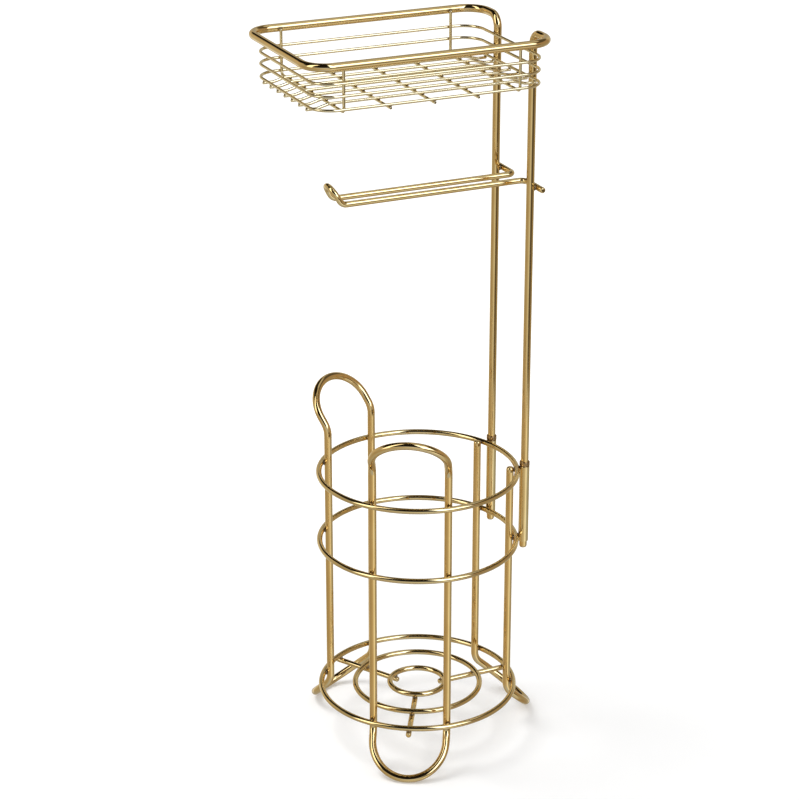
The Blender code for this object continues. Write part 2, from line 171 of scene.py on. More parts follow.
world = bpy.data.worlds.new("studio_room")
bpy.context.scene.world = world
world.use_nodes = True
room = world.node_tree
room.nodes.clear()
direction = add_node(room, "ShaderNodeTexCoord").outputs["Generated"]
turned = add_node(room, "ShaderNodeMapping",
                  {"Vector": direction, "Rotation": (0, 0, math.radians(ROOM_TURN))})
to_right, away, upward = add_node(room, "ShaderNodeSeparateXYZ", {0: turned.outputs[0]}).outputs
azimuth = maths(room, "ARCTAN2", to_right, times(room, away, -1.0))
azimuth = times(room, azimuth, 180 / math.pi)
elevation = times(room, maths(room, "ARCSINE", upward), 180 / math.pi)
round_share = plus(room, times(room, azimuth, 1 / 360), 0.5)
print("azimuth 0 faces the camera, 90 is to its right")

# %% [markdown]
# Four belts go round the room: the floor at the holder's feet, the floor further out, the strip
# just under the horizon and the wall above it. Upright wires seen from here only ever mirror the
# middle two, so these set the stripes that run up every leg and pole. Each belt is a colour ramp
# written as azimuth, brightness and tint. The pairs below them are the elevations in degrees
# between which one belt fades into the next.

# %% Colour the four belts
BROWN = (1.05, 0.82, 0.56)
AMBER = (1.04, 0.91, 0.65)
HONEY = (1.00, 0.96, 0.80)
PALE = (0.97, 0.99, 0.94)
COOL = (0.90, 1.02, 1.24)
FLOOR_BELT = (
    (-180, 0.42, AMBER), (-160, 0.46, AMBER), (-146, 1.00, PALE), (-130, 0.50, AMBER),
    (-90, 0.42, AMBER), (-40, 0.46, AMBER), (-8, 0.56, AMBER), (18, 0.72, HONEY),
    (36, 1.20, PALE), (50, 0.85, PALE), (70, 0.48, PALE), (105, 0.36, HONEY), (138, 0.40, HONEY),
    (150, 0.80, PALE), (162, 0.42, HONEY), (179.9, 0.42, AMBER))
LOW_BELT = (
    (-180, 0.40, AMBER), (-160, 0.50, AMBER), (-146, 0.86, PALE), (-126, 0.52, HONEY),
    (-90, 0.40, AMBER), (-50, 0.46, AMBER), (-25, 0.56, HONEY), (0, 0.78, PALE), (13, 0.60, PALE),
    (23, 0.10, AMBER), (66, 0.11, BROWN), (86, 0.36, AMBER), (138, 0.38, AMBER),
    (150, 0.80, PALE), (162, 0.40, HONEY), (179.9, 0.40, AMBER))
WALL_BELT = (
    (-180, 0.40, HONEY), (-160, 0.52, AMBER), (-146, 0.62, AMBER), (-128, 0.58, AMBER),
    (-80, 0.46, HONEY), (-45, 0.58, PALE), (-15, 0.62, COOL), (10, 0.64, COOL), (30, 0.42, PALE),
    (50, 0.52, PALE), (66, 0.42, BROWN), (90, 0.38, BROWN), (125, 0.36, BROWN),
    (150, 0.56, HONEY), (179.9, 0.40, HONEY))
STEEP_BELT = (
    (-180, 0.42, HONEY), (-100, 0.44, HONEY), (-50, 0.50, PALE), (-20, 0.55, COOL),
    (30, 0.58, COOL), (56, 0.64, PALE), (72, 0.44, AMBER), (95, 0.34, BROWN), (135, 0.35, AMBER),
    (179.9, 0.42, HONEY))
STEEP_TO_FLOOR = (-50, -31)
FLOOR_TO_LOW = (-22.6, -21.3)
LOW_TO_WALL = (-9, 0)


def colour_ramp(tree, value, stops):
    """A colour ramp through the given stops."""
    node = add_node(tree, "ShaderNodeValToRGB", {"Fac": value})
    node.color_ramp.interpolation = "EASE"
    elements = node.color_ramp.elements
    elements.remove(elements[-1])
    elements[0].position, elements[0].color = stops[0]
    for position, colour in stops[1:]:
        elements.new(position).color = colour
    return node.outputs["Color"]


def tinted(level, tint):
    """A tint at that brightness, as a colour."""
    return (*(level * part for part in tint), 1.0)


def belt(stops):
    """One belt of the room, from azimuths in degrees."""
    shades = [(0.5 + turn / 360, tinted(level, tint)) for turn, level, tint in stops]
    return colour_ramp(room, round_share, shades)


belts = ((STEEP_TO_FLOOR, FLOOR_BELT), (FLOOR_TO_LOW, LOW_BELT), (LOW_TO_WALL, WALL_BELT))
shown = belt(STEEP_BELT)
for fade, stops in belts:
    shown = mix_colours(room, ramp_between(room, elevation, *fade), shown, belt(stops))
print("belts:", len(STEEP_BELT), *(len(stops) for fade, stops in belts), "stops")

# %% [markdown]
# Above the wall everything is dark. The dark starts low in front, where the camera stands, and at
# the back left, and higher at both sides. The lamps are soft rectangles, each written as its left,
# right, lower and upper edge in degrees, its brightness and its tint. The first three burn out to
# white, as in the photograph. The fourth is a dim pale panel high at the right, and the last a dark
# flag below it.

# %% Darken the ceiling and light the lamps
DARK = (0.012, 0.010, 0.007, 1.0)
DARK_FROM = (
    (-180, 50), (-162, 19), (-136, 19), (-112, 32), (-78, 22), (-50, 10), (18, 10), (40, 84),
    (179.9, 56))
DARK_EDGE = (-4, 5)
LAMPS = (
    (22, 43, 10, 72, 3.2, COOL),
    (43, 62, 18, 52, 3.2, COOL),
    (-75, -51, 6, 72, 2.3, PALE),
    (66, 172, 54, 76, 0.60, PALE),
    (64, 168, 28, 52, 0.10, AMBER),
)
LAMP_EDGE = 3.0
NEUTRAL = (1.0, 1.0, 1.0)
WHITE = (1.0, 1.0, 1.0, 1.0)
DIFFUSE_LEVEL = 0.78


def between(value, low, high):
    """A mask of the room that is 1 from low to high, with soft edges."""
    rise = ramp_between(room, value, low - LAMP_EDGE, low + LAMP_EDGE)
    fall = ramp_between(room, value, high - LAMP_EDGE, high + LAMP_EDGE, 1.0, 0.0)
    return times(room, rise, fall)


heights = [(0.5 + turn / 360, tinted(height / 90, NEUTRAL)) for turn, height in DARK_FROM]
dark_from = times(room, colour_ramp(room, round_share, heights), 90.0)
into_dark = ramp_between(room, minus(room, elevation, dark_from), *DARK_EDGE)
shown = mix_colours(room, into_dark, shown, DARK)
for left, right, lower, upper, level, tint in LAMPS:
    patch = times(room, between(azimuth, left, right), between(elevation, lower, upper))
    shown = mix_colours(room, patch, shown, tinted(level, tint))
ray = add_node(room, "ShaderNodeLightPath").outputs
plain = tinted(DIFFUSE_LEVEL, NEUTRAL)
reflected = mix_colours(room, ray["Is Glossy Ray"], plain, shown)
seen = mix_colours(room, ray["Is Camera Ray"], reflected, WHITE)
background = add_node(room, "ShaderNodeBackground", {"Color": seen})
add_node(room, "ShaderNodeOutputWorld", {"Surface": background.outputs[0]})
print("room nodes:", len(room.nodes))

# %% [markdown]
# The floor is a plain pale disc. A little glow lifts it to the white of the background, so that
# only the soft shadow shows on it. Mirrored rays pass through it to the room.

# %% Lay the floor and hang the lamp
FLOOR_RADIUS = 3.0
FLOOR_SIDES = 96
FLOOR_GAP = 0.0002
FLOOR_COLOUR = (0.80, 0.80, 0.80, 1.0)
GLOW_REACH = (0.15, 0.80)
GLOW_LEVELS = (0.20, 0.45)
LAMP_PLACE = (-0.9, 0.7, 2.2)
LAMP_AIM = (0, 0, 0.2)
LAMP_SIZE = 1.1
LAMP_POWER = 26.0

floor_data = bpy.data.meshes.new("studio_floor")
flat = bmesh.new()
bmesh.ops.create_circle(flat, cap_ends=True, segments=FLOOR_SIDES, radius=FLOOR_RADIUS)
flat.to_mesh(floor_data)
flat.free()
floor = add_object("studio_floor", floor_data)
floor.location = (0, 0, -FLOOR_GAP)
floor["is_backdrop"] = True

paper = bpy.data.materials.new("studio_paper")
paper.use_nodes = True
sheet = paper.node_tree
sheet.nodes.clear()
ray = add_node(sheet, "ShaderNodeLightPath").outputs
matt = add_node(sheet, "ShaderNodeBsdfDiffuse", {"Color": FLOOR_COLOUR})
floor_place = add_node(sheet, "ShaderNodeTexCoord").outputs["Object"]
from_middle = add_node(sheet, "ShaderNodeVectorMath", {0: floor_place}, operation="LENGTH")
glow_level = ramp_between(sheet, from_middle.outputs["Value"], *GLOW_REACH, *GLOW_LEVELS)
glow_strength = times(sheet, ray["Is Camera Ray"], glow_level)
glow = add_node(sheet, "ShaderNodeEmission", {"Strength": glow_strength})
lit = add_node(sheet, "ShaderNodeAddShader", {0: matt.outputs[0], 1: glow.outputs[0]})
clear = add_node(sheet, "ShaderNodeBsdfTransparent")
choice = add_node(sheet, "ShaderNodeMixShader",
                  {0: ray["Is Glossy Ray"], 1: lit.outputs[0], 2: clear.outputs[0]})
add_node(sheet, "ShaderNodeOutputMaterial", {"Surface": choice.outputs[0]})
floor_data.materials.append(paper)

lamp_data = bpy.data.lights.new("soft_lamp", "AREA")
lamp_data.shape = "DISK"
lamp_data.size = LAMP_SIZE
lamp_data.energy = LAMP_POWER
lamp = add_object("soft_lamp", lamp_data)
lamp.location = LAMP_PLACE
lamp_ray = Vector(LAMP_AIM) - Vector(LAMP_PLACE)
lamp.rotation_euler = lamp_ray.to_track_quat("-Z", "Y").to_euler()
lamp.visible_glossy = False
bpy.context.scene.view_settings.view_transform = "Standard"
print("floor radius", FLOOR_RADIUS, "lamp", LAMP_PLACE)

# %% [markdown]
# ## The gold finish
# The wire is plated, so all its colour sits in Base Color with Metallic at 1. Thin plating varies
# a little in tone. Beside a weld it turns brown, partly a heat tint and partly painted shade where
# the wires meet. One node group makes that tone.

# %% A node group for the tone of the plating and the painted shade beside welds
COLOUR, NUMBER, ARROW = "NodeSocketColor", "NodeSocketFloat", "NodeSocketVector"
CLOUD_LIMITS = (0.34, 0.70)
FLECK_SCALE, FLECK_SHARE = 900.0, 0.5
RAGGED_SCALE, RAGGED_SHARE = 420.0, 0.5
# How the browning beside a weld fades out: partly heat tint, partly painted shade where the wires
# meet.
SCORCH_AND_SHADE_LIMITS = (0.45, 1.20)


def new_group(name, kind, inputs, outputs):
    """A node group, with the sockets that bring its inputs and take its outputs."""
    group = bpy.data.node_groups.new(name, kind)
    for way, sockets in (("INPUT", inputs), ("OUTPUT", outputs)):
        for label, socket_type in sockets:
            group.interface.new_socket(name=label, in_out=way, socket_type=socket_type)
    given = add_node(group, "NodeGroupInput").outputs
    return group, given, add_node(group, "NodeGroupOutput").inputs


def noise(tree, vector, scale, detail=2.0, roughness=0.5):
    """The value of a noise texture."""
    inputs = {"Vector": vector, "Scale": scale, "Detail": detail, "Roughness": roughness}
    return add_node(tree, "ShaderNodeTexNoise", inputs, noise_dimensions="3D").outputs["Fac"]


tone, tone_in, tone_out = new_group(
    "plating_tone", "ShaderNodeTree",
    [("Plain", COLOUR), ("Deep", COLOUR), ("Scorched", COLOUR), ("Place", ARROW),
     ("Cloud scale", NUMBER), ("Weld distance", NUMBER), ("Scorch reach", NUMBER)],
    [("Tone", COLOUR)])
clouds = noise(tone, tone_in["Place"], tone_in["Cloud scale"], 3.0)
clouds = ramp_between(tone, clouds, *CLOUD_LIMITS)
flecks = minus(tone, noise(tone, tone_in["Place"], FLECK_SCALE), 0.5)
clouds = plus(tone, clouds, times(tone, flecks, FLECK_SHARE), clamp=True)
plated = mix_colours(tone, clouds, tone_in["Plain"], tone_in["Deep"])
# Beside a weld the tone goes to the scorched colour: heat tint plus painted shade of the joint.
nearness = maths(tone, "DIVIDE", tone_in["Weld distance"], tone_in["Scorch reach"])
ragged = times(tone, noise(tone, tone_in["Place"], RAGGED_SCALE), RAGGED_SHARE)
scorch_and_shade = ramp_between(tone, plus(tone, nearness, ragged), *SCORCH_AND_SHADE_LIMITS, 1.0, 0.0)
feed(tone, tone_out["Tone"], mix_colours(tone, scorch_and_shade, plated, tone_in["Scorched"]))
print("plating_tone nodes:", len(tone.nodes))

# %% [markdown]
# Wire is drawn through a die, which leaves hair lines along it. They follow it round every bend,
# so each swept wire carries an attribute, wire_space: the place on a straightened copy of it.

# %% A node group for drawn lines, pits and handling marks
LINE_STRETCH = (1.0, 1.0, 0.012)
PIT_SCALE, PIT_LIMITS = 1500.0, (0.30, 0.40)
SMUDGE_SCALE, SMUDGE_LIMITS = 55.0, (0.48, 0.72)
LINE_ROUGHNESS, SMUDGE_ROUGHNESS = 0.45, 0.75
LINE_HEIGHT, PIT_HEIGHT = 0.25, 0.30

drawn, drawn_in, drawn_out = new_group(
    "drawn_surface", "ShaderNodeTree",
    [("Wire place", ARROW), ("Place", ARROW), ("Base roughness", NUMBER),
     ("Roughness spread", NUMBER), ("Line scale", NUMBER), ("Wave scale", NUMBER)],
    [("Roughness", NUMBER), ("Height", NUMBER)])
stretch = add_node(drawn, "ShaderNodeMapping",
                   {"Vector": drawn_in["Wire place"], "Scale": LINE_STRETCH})
lines = noise(drawn, stretch.outputs[0], drawn_in["Line scale"], 3.0, 0.6)
waves = noise(drawn, drawn_in["Wire place"], drawn_in["Wave scale"], 1.0)
pits = ramp_between(drawn, noise(drawn, drawn_in["Place"], PIT_SCALE, 1.0), *PIT_LIMITS)
smudges = noise(drawn, drawn_in["Place"], SMUDGE_SCALE, 4.0, 0.62)
smudges = ramp_between(drawn, smudges, *SMUDGE_LIMITS)
uneven = plus(drawn, times(drawn, lines, LINE_ROUGHNESS), times(drawn, smudges, SMUDGE_ROUGHNESS))
rough = times(drawn, uneven, drawn_in["Roughness spread"])
feed(drawn, drawn_out["Roughness"], plus(drawn, drawn_in["Base roughness"], rough))
relief = plus(drawn, times(drawn, lines, LINE_HEIGHT), times(drawn, pits, PIT_HEIGHT))
feed(drawn, drawn_out["Height"], plus(drawn, relief, waves))
print("drawn_surface nodes:", len(drawn.nodes))

# %% [markdown]
# Each kind of wire has its own material, written as two golds, a roughness, its spread and how far
# the browning beside a weld reaches, partly heat tint and partly painted shade. The stop beads and
# the welds are dull and brown.

# %% Make the gold materials
# The brown beside the welds, partly heat tint and partly painted shade where the wires meet.
SCORCHED_AND_SHADED = (0.24, 0.17, 0.10, 1.0)
PLATINGS = {
    "gold_frame_wire": ((0.84, 0.61, 0.29), (0.79, 0.56, 0.25), 0.05, 0.04, 0.0042),
    "gold_pole_wire": ((0.84, 0.62, 0.30), (0.80, 0.57, 0.26), 0.05, 0.04, 0.0032),
    "gold_ring_wire": ((0.82, 0.63, 0.33), (0.77, 0.58, 0.28), 0.04, 0.04, 0.0042),
    "gold_basket_wire": ((0.90, 0.77, 0.50), (0.85, 0.71, 0.43), 0.09, 0.06, 0.0018),
    "gold_arm_wire": ((0.85, 0.65, 0.33), (0.81, 0.60, 0.28), 0.04, 0.04, 0.0036),
    "gold_socket_tube": ((0.86, 0.68, 0.37), (0.81, 0.62, 0.32), 0.06, 0.05, 0.0036),
    "gold_stop_bead": ((0.50, 0.33, 0.17), (0.38, 0.25, 0.12), 0.22, 0.08, 0.0036),
    "gold_weld": ((0.34, 0.24, 0.13), (0.24, 0.17, 0.09), 0.34, 0.14, 0.0036),
}
CLOUD_SCALE = 38.0
LINE_SCALE = 2600.0
WAVE_SCALE = 90.0
BUMP_STRENGTH = 0.25
BUMP_DISTANCE = 0.00002


def read_attribute(tree, name, output):
    """An attribute that the piece's own mesh carries."""
    return add_node(tree, "ShaderNodeAttribute", attribute_name=name).outputs[output]


def make_gold(name, plain, deep, base_roughness, spread, scorch_and_shade_reach):
    """One gold plated finish, built from the two groups."""
    material = bpy.data.materials.new(name)
    material.use_nodes = True
    tree = material.node_tree
    place = add_node(tree, "ShaderNodeTexCoord").outputs["Object"]
    colouring = add_node(tree, "ShaderNodeGroup", {
        "Plain": (*plain, 1.0), "Deep": (*deep, 1.0), "Scorched": SCORCHED_AND_SHADED, "Place": place,
        "Cloud scale": CLOUD_SCALE, "Scorch reach": scorch_and_shade_reach,
        "Weld distance": read_attribute(tree, "weld_distance", "Fac")}, node_tree=tone)
    surface = add_node(tree, "ShaderNodeGroup", {
        "Wire place": read_attribute(tree, "wire_space", "Vector"), "Place": place,
        "Base roughness": base_roughness, "Roughness spread": spread,
        "Line scale": LINE_SCALE, "Wave scale": WAVE_SCALE}, node_tree=drawn)
    bump = add_node(tree, "ShaderNodeBump", {
        "Strength": BUMP_STRENGTH, "Distance": BUMP_DISTANCE, "Height": surface.outputs["Height"]})
    shader = tree.nodes["Principled BSDF"]
    shader.inputs["Metallic"].default_value = 1.0
    feed(tree, shader.inputs["Base Color"], colouring.outputs["Tone"])
    feed(tree, shader.inputs["Roughness"], surface.outputs["Roughness"])
    feed(tree, shader.inputs["Normal"], bump.outputs["Normal"])
    return material


golds = {name: make_gold(name, *values) for name, values in PLATINGS.items()}
print("finishes:", ", ".join(golds))

# %% [markdown]
# ## Bending wire
# Every wire is a path of straight runs, rounded bends and half-round bows, as a bending machine
# makes it. The rules are those of the CAD source, only more finely divided. Straight runs are
# divided too, so that the browning and painted shade beside a weld have vertices to sit on.

# %% Path helpers
BEND_STEPS = 14
BOW_STEPS = 48
RUN_STEP = 0.0025


def bend_run(radius, turn):
    """Length from the corner of a bend to the end of its arc, for a turn in degrees."""
    return radius * math.tan(math.radians(turn) / 2)


def bend(before, corner, after, radius):
    """Points of the arc that rounds one corner of a wire's path."""
    back = (before - corner).normalized()
    ahead = (after - corner).normalized()
    half_angle = back.angle(ahead) / 2
    centre = corner + (back + ahead).normalized() * (radius / math.sin(half_angle))
    run = radius / math.tan(half_angle)
    start, end = corner + back * run - centre, corner + ahead * run - centre
    sweep = math.pi - 2 * half_angle
    points = []
    for step in range(BEND_STEPS + 1):
        angle = sweep * step / BEND_STEPS
        arm = start * math.sin(sweep - angle) + end * math.sin(angle)
        points.append(centre + arm / math.sin(sweep))
    return points


def bent_path(corners, radii):
    """Straight runs between the corners, with each inner corner rounded to its radius."""
    corners = [Vector(corner) for corner in corners]
    points = [corners[0]]
    for index, radius in enumerate(radii, start=1):
        points += bend(corners[index - 1], corners[index], corners[index + 1], radius)
    points.append(corners[-1])
    return points


def bow(start, end, rise):
    """Half ellipse between two parallel legs, without its end points."""
    centre = (start + end) / 2
    points = []
    for step in range(1, BOW_STEPS):
        angle = math.pi * step / BOW_STEPS
        points.append(centre + (start - centre) * math.cos(angle) + rise * math.sin(angle))
    return points


def circle(radius, steps):
    """Points of a level ring."""
    angles = [2 * math.pi * step / steps for step in range(steps)]
    return [Vector((radius * math.cos(angle), radius * math.sin(angle), 0)) for angle in angles]


def divided(points, closed):
    """The same path with its long runs divided."""
    result = []
    ends = points[1:] + points[:1] if closed else points[1:]
    for start, end in zip(points, ends):
        parts = max(1, round((end - start).length / RUN_STEP))
        result += [start.lerp(end, part / parts) for part in range(parts)]
    return result if closed else result + [points[-1]]


print("a bow has", BOW_STEPS, "steps")

# %% [markdown]
# ## Sweeping a round section along a path
# The tree takes the bare path, thins a cut end slightly the way tumbling rounds it, keeps the wire
# above the floor so that the feet get their small flats, and notes the place on the straightened
# wire and the distance to the nearest weld.

# %% Build the sweep tree
END_THINNING = 0.42
GEOMETRY, COUNT = "NodeSocketGeometry", "NodeSocketInt"
OBJECT, FINISH = "NodeSocketObject", "NodeSocketMaterial"


def note(tree, geometry, name, kind, value):
    """Store a value on the points of the geometry under a name."""
    inputs = {"Geometry": geometry, "Name": name, "Value": value}
    node = add_node(tree, "GeometryNodeStoreNamedAttribute", inputs, data_type=kind, domain="POINT")
    return node.outputs["Geometry"]


def capture(tree, geometry, value):
    """Keep a value on the geometry for use after the next nodes."""
    node = add_node(tree, "GeometryNodeCaptureAttribute", {"Geometry": geometry})
    node.capture_items.new("FLOAT", "kept")
    feed(tree, node.inputs["kept"], value)
    return node.outputs["Geometry"], node.outputs["kept"]


def weld_distance(tree, target):
    """Distance from each point to the nearest weld of the target object."""
    info = add_node(tree, "GeometryNodeObjectInfo", {"Object": target})
    near = add_node(tree, "GeometryNodeProximity", {"Geometry": info.outputs["Geometry"]},
                    target_element="POINTS")
    return near.outputs["Distance"]


sweep, wire_in, wire_out = new_group(
    "swept_wire", "GeometryNodeTree",
    [("Path", GEOMETRY), ("Diameter", NUMBER), ("Sides", COUNT), ("End softening", NUMBER),
     ("Lowest height", NUMBER), ("Welds", OBJECT), ("Finish", FINISH)],
    [("Wire", GEOMETRY)])
guide = add_node(sweep, "GeometryNodeMeshToCurve", {"Mesh": wire_in["Path"]}).outputs["Curve"]
along = add_node(sweep, "GeometryNodeSplineParameter").outputs["Length"]
whole = add_node(sweep, "GeometryNodeSplineLength").outputs["Length"]
endless = add_node(sweep, "GeometryNodeInputSplineCyclic").outputs[0]
off_middle = maths(sweep, "ABSOLUTE", minus(sweep, along, times(sweep, whole, 0.5)))
guide, along_kept = capture(sweep, guide, off_middle)
from_end = maths(sweep, "MINIMUM", along, minus(sweep, whole, along))
from_end = plus(sweep, from_end, endless)
softened = maths(sweep, "DIVIDE", from_end, wire_in["End softening"], clamp=True)
shortfall = maths(sweep, "POWER", minus(sweep, 1.0, softened), 2.0)
arc = maths(sweep, "SQRT", minus(sweep, 1.0, shortfall))
thinned = times(sweep, minus(sweep, 1.0, arc), END_THINNING)
thickness = minus(sweep, 1.0, thinned)
print("sweep tree, first half:", len(sweep.nodes), "nodes")

# %% Finish the sweep tree
def finished(tree, geometry, material):
    """The geometry made real, shaded smooth and with its finish."""
    smooth = add_node(tree, "GeometryNodeSetShadeSmooth", {"Geometry": geometry})
    real = add_node(tree, "GeometryNodeRealizeInstances", {"Geometry": smooth.outputs[0]})
    return add_node(tree, "GeometryNodeSetMaterial",
                    {"Geometry": real.outputs[0], "Material": material}).outputs[0]


wire_radius = times(sweep, wire_in["Diameter"], 0.5)
section = add_node(sweep, "GeometryNodeCurvePrimitiveCircle",
                   {"Resolution": wire_in["Sides"], "Radius": wire_radius}, mode="RADIUS")
section_share = add_node(sweep, "GeometryNodeSplineParameter").outputs["Factor"]
profile, share_kept = capture(sweep, section.outputs["Curve"], section_share)
swept = add_node(sweep, "GeometryNodeCurveToMesh", {
    "Curve": guide, "Profile Curve": profile, "Scale": thickness, "Fill Caps": True})
turn = times(sweep, share_kept, 2 * math.pi)
straightened = add_node(sweep, "ShaderNodeCombineXYZ", {
    "X": times(sweep, maths(sweep, "COSINE", turn), wire_radius),
    "Y": times(sweep, maths(sweep, "SINE", turn), wire_radius), "Z": along_kept})
noted = note(sweep, swept.outputs["Mesh"], "wire_space", "FLOAT_VECTOR", straightened.outputs[0])
noted = note(sweep, noted, "weld_distance", "FLOAT", weld_distance(sweep, wire_in["Welds"]))
spot = add_node(sweep, "GeometryNodeInputPosition").outputs[0]
spot = add_node(sweep, "ShaderNodeSeparateXYZ", {0: spot}).outputs
lifted = add_node(sweep, "ShaderNodeCombineXYZ", {
    "X": spot["X"], "Y": spot["Y"],
    "Z": maths(sweep, "MAXIMUM", spot["Z"], wire_in["Lowest height"])})
settled = add_node(sweep, "GeometryNodeSetPosition",
                   {"Geometry": noted, "Position": lifted.outputs[0]})
feed(sweep, wire_out["Wire"], finished(sweep, settled.outputs[0], wire_in["Finish"]))
print("sweep tree:", len(sweep.nodes), "nodes")

# %% [markdown]
# ## Where the wires are welded
# Wires that touch are spot welded, and every weld leaves a small flattened nugget. The places
# follow from the sizes of the wires. The sweeps need them for the browning and painted shade
# beside each weld, and the nuggets are set on them at the end. The welds of the sockets sit a
# little deeper and lower, so that no nugget reaches into a bore or a stop bead.

# %% Sizes of the cage
FRAME_WIRE = 0.0062
POLE_WIRE = 0.0063
RING_WIRE = 0.0045
SOCKET_WALL = 0.0006
WELD_GAP = 0.0003
SLIDING_GAP = 0.0003
CAGE_RING_RADIUS = 0.0800
BASE_MIDDLE_RADIUS = 0.0518
BASE_INNER_RADIUS = 0.0229
MIDDLE_RING_RISE = 0.1320
TOP_RING_RISE = 0.1924
LEG_SPACING = 0.0596
SIDE_TURNS = {"pole_side": 0.0, "rear": 120.0, "front": -120.0}

half_spacing = LEG_SPACING / 2
leg_radius = CAGE_RING_RADIUS - RING_WIRE / 2 - WELD_GAP - FRAME_WIRE / 2
leg_reach = math.sqrt(leg_radius ** 2 - half_spacing ** 2)
socket_bore = POLE_WIRE + 2 * SLIDING_GAP
socket_outer = socket_bore + 2 * SOCKET_WALL
socket_radius = CAGE_RING_RADIUS + RING_WIRE / 2 + WELD_GAP + socket_outer / 2
pole_reach = math.sqrt(socket_radius ** 2 - half_spacing ** 2)
ring_low, ring_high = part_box("base_ring_outer")
cage_middle = (ring_low + ring_high) / 2
upper_middle = cage_middle + Vector((pole_reach, 0, 0))
print("cage middle in mm:", [round(1000 * value, 2) for value in cage_middle])


def cage_place(side="pole_side"):
    """The matrix that carries a path of the cage into the frame, turned to its side."""
    turn = Matrix.Rotation(math.radians(SIDE_TURNS[side]), 4, "Z")
    return Matrix.Translation(cage_middle) @ turn


upper_place = Matrix.Translation(upper_middle)

# %% Sizes of the shelf basket and the roll arm
ARM_WIRE = 0.0048
BASKET_WIRE = 0.0023
RIM_HEIGHT = 0.5505
RIM_LENGTH = 0.1960
RIM_WIDTH = 0.1287
RAIL_DROPS = (0.0134, 0.0228, 0.0329)
RAIL_END_INSET = 0.0051
RAIL_CORNER_RADIUS = 0.0175
HOOP_CORNER_DISTANCE = 0.0041
CROSS_WIRE_COUNT = 5
LONG_WIRE_COUNT = 7
LONG_WIRE_INSET = 0.0204
ARM_DROP = 0.0873

wire_stack = BASKET_WIRE + WELD_GAP
hoop_half_width = RIM_WIDTH / 2 - POLE_WIRE / 2 - WELD_GAP - BASKET_WIRE / 2
rail_half_width = hoop_half_width + wire_stack
rail_pole_end = -(POLE_WIRE / 2 + WELD_GAP + BASKET_WIRE / 2)
rail_far_end = RAIL_END_INSET - RIM_LENGTH
basket_middle = (rail_pole_end + rail_far_end) / 2
hoop_span = rail_pole_end - rail_far_end - 2 * (RAIL_CORNER_RADIUS + HOOP_CORNER_DISTANCE)
floor_height = RIM_HEIGHT - RAIL_DROPS[-1]
cross_height = floor_height - wire_stack
arm_height = cross_height - ARM_DROP
long_span = 2 * (rail_half_width - LONG_WIRE_INSET)


def spread(count, span, middle=0.0):
    """Places of that many wires, evenly over a span."""
    return [middle + span * (index / (count - 1) - 0.5) for index in range(count)]


cross_places = spread(CROSS_WIRE_COUNT, hoop_span, basket_middle)
long_places = spread(LONG_WIRE_COUNT, long_span)
print("cross wires at", [round(1000 * place, 1) for place in cross_places])

# %% List the welds
UP, ALONG, ACROSS = Vector((0, 0, 1)), Vector((1, 0, 0)), Vector((0, 1, 0))
SOCKET_WELD_SINK = 0.0009
SOCKET_WELD_DROP = 0.0006


def cage_welds():
    """Place, facing and wire size of each weld of the cage."""
    found = []
    leg_turn = math.atan2(half_spacing, leg_reach)
    pole_turn = math.atan2(half_spacing, pole_reach)
    inside = CAGE_RING_RADIUS - (RING_WIRE + WELD_GAP) / 2
    outside = CAGE_RING_RADIUS + (RING_WIRE + WELD_GAP) / 2 - SOCKET_WELD_SINK
    for side in SIDE_TURNS:
        place = cage_place(side)
        for sign in (1, -1):
            facing = Vector((math.cos(leg_turn), sign * math.sin(leg_turn), 0))
            for rise in (0, MIDDLE_RING_RISE, TOP_RING_RISE):
                spot = place @ (facing * inside + UP * rise)
                found.append((spot, place.to_3x3() @ facing, RING_WIRE))
        for reach in (BASE_INNER_RADIUS, BASE_MIDDLE_RADIUS, CAGE_RING_RADIUS):
            spot = place @ Vector((reach, 0, -(RING_WIRE + WELD_GAP) / 2))
            found.append((spot, UP, RING_WIRE))
    for sign in (1, -1):
        facing = Vector((math.cos(pole_turn), sign * math.sin(pole_turn), 0))
        for rise in (MIDDLE_RING_RISE, TOP_RING_RISE):
            spot = cage_place() @ (facing * outside + UP * (rise - SOCKET_WELD_DROP))
            found.append((spot, facing, RING_WIRE))
    return found


def upper_welds():
    """Place, facing and wire size of each weld of the upper frame."""
    found = []
    rail_heights = [RIM_HEIGHT - drop for drop in RAIL_DROPS]
    floor_joint = floor_height - wire_stack / 2
    for sign in (1, -1):
        rim_side = sign * (RIM_WIDTH / 2 - (POLE_WIRE + WELD_GAP) / 2)
        hoop_side = sign * (hoop_half_width + wire_stack / 2)
        for place in (cross_places[0], cross_places[-1]):
            found.append(((place, rim_side, RIM_HEIGHT), ACROSS, BASKET_WIRE))
            found += [((place, hoop_side, height), ACROSS, BASKET_WIRE) for height in rail_heights]
        for place in cross_places[1:-1]:
            found.append(((place, sign * rail_half_width, floor_joint), UP, BASKET_WIRE))
        pole_side, pole = -(POLE_WIRE + WELD_GAP) / 2, sign * half_spacing
        found += [((pole_side, pole, height), ALONG, BASKET_WIRE) for height in rail_heights]
        found.append(((-pole_side, pole, arm_height), ALONG, ARM_WIRE))
    for across in long_places:
        for place in cross_places + [rail_far_end, rail_pole_end]:
            found.append(((place, across, floor_joint), UP, BASKET_WIRE))
    return [(upper_place @ Vector(place), facing, size) for place, facing, size in found]


welds = {"cage": cage_welds(), "upper_frame": upper_welds()}
print("welds:", {body: len(found) for body, found in welds.items()})

# %% [markdown]
# Geometry Nodes read the welds as the points of a small mesh, with the facing and the size of each
# one as attributes. These helpers are taken away again at the end.

